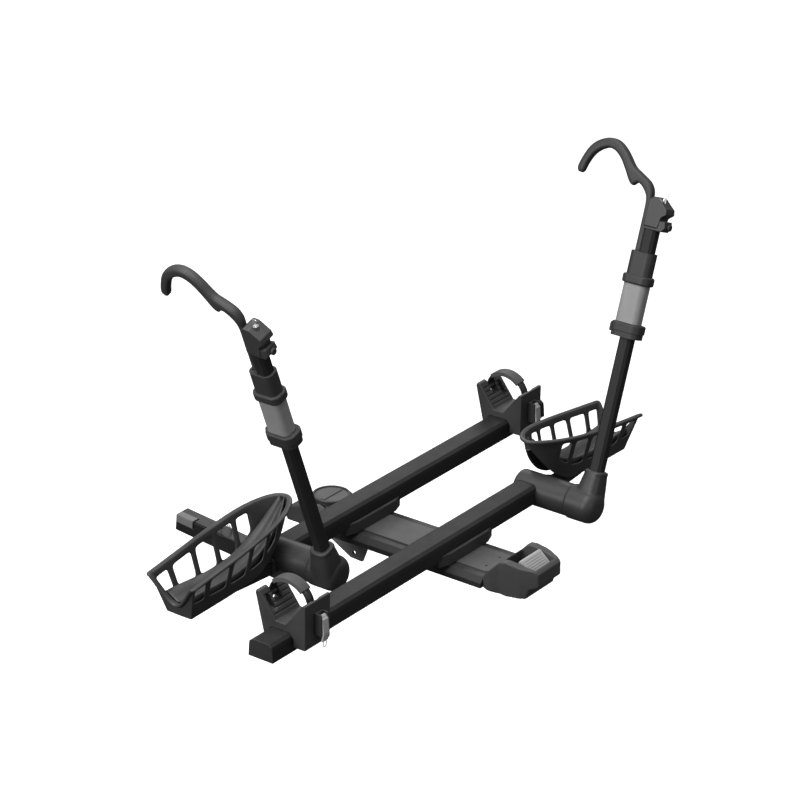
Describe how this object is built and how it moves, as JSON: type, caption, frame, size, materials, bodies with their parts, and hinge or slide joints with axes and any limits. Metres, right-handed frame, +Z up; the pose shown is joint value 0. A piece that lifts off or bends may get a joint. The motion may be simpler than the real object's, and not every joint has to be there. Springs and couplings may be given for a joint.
{
  "type": "hitch mounted bike rack",
  "caption": "Platform bike rack for a square hitch receiver: a tilting spine carries beams with wheel baskets, folding hook arms and strapped rear-wheel cradles.",
  "frame": {"origin": "centre of the hitch pin hole, on the shank's axis", "axes": "+X across the vehicle along the beams, +Y forward into the receiver, +Z up"},
  "size_m": [1.6, 1.2335, 1.2609],
  "materials": {
    "black_aluminium": "satin black anodised",
    "black_plastic": "fine textured",
    "cast_black": "satin black powder coat",
    "tray_plastic": "textured moulding",
    "black_steel": "black powder coat",
    "steel": "zinc plated",
    "key_steel": "bright",
    "grip_plastic": "soft-touch",
    "pale_band": "satin grey",
    "hook_rubber": "rubber coated",
    "strap_plastic": "ribbed strap",
    "sleeve_rubber": "soft grey pad",
    "lever_grey": "satin grey",
    "wedge_steel": "grey coat",
    "plate_grey": "satin grey",
    "spine_aluminium": "satin dark",
    "plate_steel": "satin dark grey",
    "handle_plastic": "textured"
  },
  "bodies": {
    "hitch": {"hitch_shank": "black_steel", "mast": "black_steel", "safety_loop": "steel", "hub_cover": "tray_plastic", "pivot_bolt": "steel"},
    "wedge": {"shank_wedge": "wedge_steel"},
    "knob": {"tension_knob": "black_plastic", "knob_plate": "plate_grey"},
    "platform": {"spine": "spine_aluminium", "spine_plate": "plate_grey", "left_tilt_ear": "plate_steel", "right_tilt_ear": "plate_steel", "inner_saddle": "cast_black", "outer_saddle": "cast_black", "platform_screws": "steel", "handle_housing": "handle_plastic", "lever_pin": "steel", "handle_foot": "black_plastic"},
    "lever": {"release_lever": "lever_grey"},
    "latch": {"latch_rod": "steel"},
    "inner_carrier": {"inner_beam": "black_aluminium", "inner_end_cap": "black_plastic", "inner_arm_housing": "cast_black", "inner_hinge_pin": "steel", "inner_wheel_tray": "tray_plastic", "inner_tray_support": "black_steel"},
    "inner_arm": {"inner_arm_hub": "cast_black", "inner_arm_tube": "black_aluminium", "inner_lock_head": "cast_black"},
    "inner_grip": {"inner_slider": "grip_plastic", "inner_grip_band": "pale_band", "inner_wheel_hook": "hook_rubber"},
    "inner_button": {"inner_slider_button": "black_plastic"},
    "inner_key": {"inner_lock_key": "key_steel"},
    "inner_plug": {"inner_cable_plug": "black_plastic"},
    "inner_rear_cradle": {"inner_cradle": "tray_plastic", "inner_buckle": "black_plastic"},
    "inner_tyre_strap": {"inner_strap": "strap_plastic", "inner_strap_sleeve": "sleeve_rubber"},
    "inner_ratchet_lever": {"inner_buckle_lever": "lever_grey"},
    "outer_carrier": {"outer_beam": "black_aluminium", "outer_end_cap": "black_plastic", "outer_arm_housing": "cast_black", "outer_hinge_pin": "steel", "outer_wheel_tray": "tray_plastic", "outer_tray_support": "black_steel"},
    "outer_arm": {"outer_arm_hub": "cast_black", "outer_arm_tube": "black_aluminium", "outer_lock_head": "cast_black"},
    "outer_grip": {"outer_slider": "grip_plastic", "outer_grip_band": "pale_band", "outer_wheel_hook": "hook_rubber"},
    "outer_button": {"outer_slider_button": "black_plastic"},
    "outer_key": {"outer_lock_key": "key_steel"},
    "outer_plug": {"outer_cable_plug": "black_plastic"},
    "outer_rear_cradle": {"outer_cradle": "tray_plastic", "outer_buckle": "black_plastic"},
    "outer_tyre_strap": {"outer_strap": "strap_plastic", "outer_strap_sleeve": "sleeve_rubber"},
    "outer_ratchet_lever": {"outer_buckle_lever": "lever_grey"}
  },
  "joints": [
    {"name": "rack_tilt", "type": "hinge", "parent": "hitch", "child": "platform", "pos_m": [0, -0.41446, 0.24745], "axis": [1, 0, 0], "range_deg": [-90, 33]},
    {"name": "tension_knob_turn", "type": "hinge", "parent": "hitch", "child": "knob", "pos_m": [0, -0.40771, 0.288], "axis": [0, 0.0918, 0.9958], "range_deg": [0, 720]},
    {"name": "wedge_draw", "type": "slide", "parent": "hitch", "child": "wedge", "axis": [-0.099, -0.9901, 0.099], "range_m": [0, 0.0055]},
    {"name": "release_squeeze", "type": "hinge", "parent": "platform", "child": "lever", "pos_m": [0, -1.06887, 0.3058], "axis": [1, 0, 0], "range_deg": [0, 20], "stiffness_Nm_per_rad": 3, "springref_deg": -8.59},
    {"name": "latch_slide", "type": "slide", "parent": "platform", "child": "latch", "axis": [0, -0.9958, 0.0918], "range_m": [0, 0.0055]},
    {"name": "inner_beam_shift", "type": "slide", "parent": "platform", "child": "inner_carrier", "axis": [1, 0, 0], "range_m": [-0.04, 0.04]},
    {"name": "inner_arm_fold", "type": "hinge", "parent": "inner_carrier", "child": "inner_arm", "pos_m": [-0.36, -0.69259, 0.31327], "axis": [0, 0.9958, -0.0918], "range_deg": [0, 101]},
    {"name": "inner_hook_slide", "type": "slide", "parent": "inner_arm", "child": "inner_grip", "axis": [-0.3518, 0.086, 0.9321], "range_m": [-0.34, 0.045]},
    {"name": "inner_button_press", "type": "slide", "parent": "inner_grip", "child": "inner_button", "axis": [0, -0.9958, 0.0918], "range_m": [0, 0.005], "stiffness_N_per_m": 500, "springref_m": -0.002},
    {"name": "inner_key_turn", "type": "hinge", "parent": "inner_arm", "child": "inner_key", "pos_m": [-0.66258, -0.63624, 1.09843], "axis": [-0.3518, 0.086, 0.9321], "range_deg": [0, 90]},
    {"name": "inner_plug_pull", "type": "slide", "parent": "inner_arm", "child": "inner_plug", "axis": [0, 0.9958, -0.0918], "range_m": [-0.02, 0]},
    {"name": "inner_cradle_slide", "type": "slide", "parent": "inner_carrier", "child": "inner_rear_cradle", "axis": [1, 0, 0], "range_m": [-0.3, 0.06]},
    {"name": "inner_strap_swing", "type": "hinge", "parent": "inner_rear_cradle", "child": "inner_tyre_strap", "pos_m": [0.673, -0.44298, 0.38465], "axis": [-1, 0, 0], "range_deg": [0, 110]},
    {"name": "inner_lever_lift", "type": "hinge", "parent": "inner_rear_cradle", "child": "inner_ratchet_lever", "pos_m": [0.673, -0.59916, 0.37897], "axis": [-1, 0, 0], "range_deg": [0, 75]},
    {"name": "outer_beam_shift", "type": "slide", "parent": "platform", "child": "outer_carrier", "axis": [1, 0, 0], "range_m": [-0.04, 0.04]},
    {"name": "outer_arm_fold", "type": "hinge", "parent": "outer_carrier", "child": "outer_arm", "pos_m": [0.36, -0.9963, 0.34129], "axis": [0, -0.9958, 0.0918], "range_deg": [0, 101]},
    {"name": "outer_hook_slide", "type": "slide", "parent": "outer_arm", "child": "outer_grip", "axis": [0.3518, 0.086, 0.9321], "range_m": [-0.34, 0.045]},
    {"name": "outer_button_press", "type": "slide", "parent": "outer_grip", "child": "outer_button", "axis": [0, -0.9958, 0.0918], "range_m": [0, 0.005], "stiffness_N_per_m": 500, "springref_m": -0.002},
    {"name": "outer_key_turn", "type": "hinge", "parent": "outer_arm", "child": "outer_key", "pos_m": [0.66258, -0.93995, 1.12644], "axis": [0.3518, 0.086, 0.9321], "range_deg": [0, 90]},
    {"name": "outer_plug_pull", "type": "slide", "parent": "outer_arm", "child": "outer_plug", "axis": [0, 0.9958, -0.0918], "range_m": [-0.02, 0]},
    {"name": "outer_cradle_slide", "type": "slide", "parent": "outer_carrier", "child": "outer_rear_cradle", "axis": [-1, 0, 0], "range_m": [-0.3, 0.06]},
    {"name": "outer_strap_swing", "type": "hinge", "parent": "outer_rear_cradle", "child": "outer_tyre_strap", "pos_m": [-0.673, -0.74669, 0.41266], "axis": [-1, 0, 0], "range_deg": [0, 110]},
    {"name": "outer_lever_lift", "type": "hinge", "parent": "outer_rear_cradle", "child": "outer_ratchet_lever", "pos_m": [-0.673, -0.90288, 0.40698], "axis": [-1, 0, 0], "range_deg": [0, 75]}
  ],
  "couplings": [
    {"joint": "wedge_draw", "follows": "tension_knob_turn", "m_per_rad": 0.000436},
    {"joint": "latch_slide", "follows": "release_squeeze", "m_per_rad": 0.015}
  ]
}
